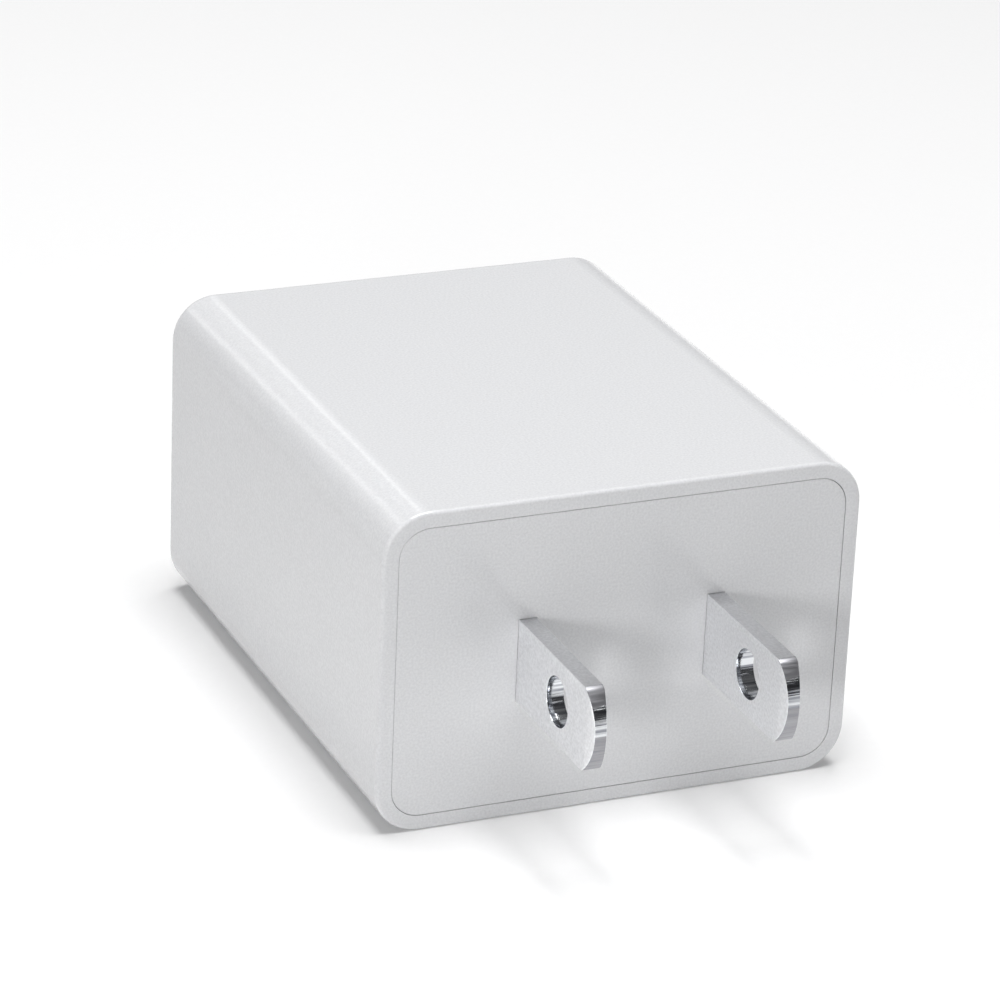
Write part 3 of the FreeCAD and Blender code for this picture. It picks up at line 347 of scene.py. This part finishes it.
def floor():
    """A wide white sheet under the charger, lit a little from within so that it stays white."""
    corners = [(-1, -1), (1, -1), (1, 1), (-1, 1)]
    mesh = bpy.data.meshes.new("floor")
    places = [(CENTRE.x + x * FLOOR_HALF, CENTRE.y + y * FLOOR_HALF, LOW.z) for x, y in corners]
    mesh.from_pydata(places, [], [(0, 1, 2, 3)])
    sheet = bpy.data.objects.new("floor", mesh)
    bpy.context.scene.collection.objects.link(sheet)
    s = Surface("floor_paper", (0.78, 0.78, 0.78), 0.6)
    s.shader.inputs["Emission Color"].default_value = (1.0, 1.0, 1.0, 1.0)
    s.shader.inputs["Emission Strength"].default_value = FLOOR_GLOW
    grain = s.noise(0.4 * MM, 2.0)
    colour = s.blend(grain, (0.76, 0.76, 0.76), (0.78, 0.78, 0.78))
    mesh.materials.append(s.use(Base_Color=colour, Normal=s.bump(grain, 0.003 * MM)))


def direction(azimuth, elevation):
    """A unit vector, from degrees round from +Y towards +X and up from the floor."""
    a, e = math.radians(azimuth), math.radians(elevation)
    return Vector((math.sin(a) * math.cos(e), math.cos(a) * math.cos(e), math.sin(e)))


def panel(name, towards, distance, width, height, brightness):
    """A soft rectangular lamp in a direction from the charger.

    Its distance, width and height are in casing lengths. Its brightness is that of a white wall facing it.
    """
    data = bpy.data.lights.new(name, "AREA")
    data.shape = "RECTANGLE"
    data.size = width * LENGTH
    data.size_y = height * LENGTH
    data.energy = brightness * (math.pi * distance * LENGTH) ** 2
    lamp = bpy.data.objects.new(name, data)
    lamp.location = CENTRE + towards * distance * LENGTH
    lamp.rotation_euler = (CENTRE - lamp.location).to_track_quat("-Z", "Y").to_euler()
    bpy.context.scene.collection.objects.link(lamp)


def room():
    """A dim room with a pale band along the horizon, as beyond the edge of a studio's sweep."""
    world = bpy.data.worlds.new("room")
    world.use_nodes = True
    nodes, links = world.node_tree.nodes, world.node_tree.links
    place = nodes.new("ShaderNodeTexCoord")
    split = nodes.new("ShaderNodeSeparateXYZ")
    links.new(place.outputs["Generated"], split.inputs["Vector"])
    ramp = nodes.new("ShaderNodeValToRGB")
    links.new(split.outputs["Z"], ramp.inputs["Fac"])
    stops = ramp.color_ramp.elements
    for height, _ in ROOM_GREYS[1:-1]:
        stops.new(height)
    for stop, (height, grey) in zip(stops, ROOM_GREYS):
        stop.position = height
        stop.color = (grey, grey, 1.02 * grey, 1.0)
    links.new(ramp.outputs["Color"], nodes["Background"].inputs["Color"])
    bpy.context.scene.world = world


def lights():
    """A large lamp overhead, a low one in front to the left, and strips whose lines the edges catch."""
    room()
    overhead = Vector((0.0, 0.0, 1.0))
    low_left = Vector((-0.8, -1.0, 0.2)).normalized()
    panel("key_above", overhead, LAMP_DISTANCE, 9.0, 9.0, 1.27)
    panel("low_left", low_left, LOW_LAMP_DISTANCE, 0.8, 0.8, 0.225)
    panel("strip_back", direction(12, 33), LAMP_DISTANCE, 1.3, 5.0, 0.009)
    panel("strip_left", direction(-20, 26), LAMP_DISTANCE, 1.0, 3.9, 0.009)
    panel("strip_front", direction(156, 24), LAMP_DISTANCE, 7.7, 0.6, 0.01)
    bpy.context.scene.view_settings.view_transform = "Standard"


# ---- camera ----

# The camera's turn from +Y towards +X, its tilt down and its roll, then its distance and aim from CENTRE.
AZIMUTH = math.radians(23.66)
ELEVATION = math.radians(22.89)
ROLL = math.radians(2.5)
FIELD_OF_VIEW = math.radians(12.995)
DISTANCE = 7.284 * LENGTH
AIM_RIGHT = 0.0040 * LENGTH
AIM_UP = 0.0419 * LENGTH


def camera():
    """Looks at the blade end from the left and above, from far off."""
    along = Vector(
        (
            math.sin(AZIMUTH) * math.cos(ELEVATION),
            math.cos(AZIMUTH) * math.cos(ELEVATION),
            -math.sin(ELEVATION),
        )
    )
    level = along.cross(Vector((0, 0, 1))).normalized()
    upright = level.cross(along)
    right = level * math.cos(ROLL) + upright * math.sin(ROLL)
    up = right.cross(along)
    place = CENTRE + right * AIM_RIGHT + up * AIM_UP - along * DISTANCE
    data = bpy.data.cameras.new("camera")
    data.angle = FIELD_OF_VIEW
    data.clip_start = 0.1 * LENGTH
    data.clip_end = 200 * LENGTH
    eye = bpy.data.objects.new("camera", data)
    turn = Matrix((right, up, -along)).transposed().to_4x4()
    eye.matrix_world = Matrix.Translation(place) @ turn
    bpy.context.scene.collection.objects.link(eye)
    bpy.context.scene.camera = eye


finish_nodes()
blade("left")
blade("right")
softened("usb_shell", SHELL_ROUND)
softened("usb_insulator", INSULATOR_ROUND)
for contact in SPRING_CONTACTS:
    softened(contact, CONTACT_ROUND)
floor()
lights()
camera()
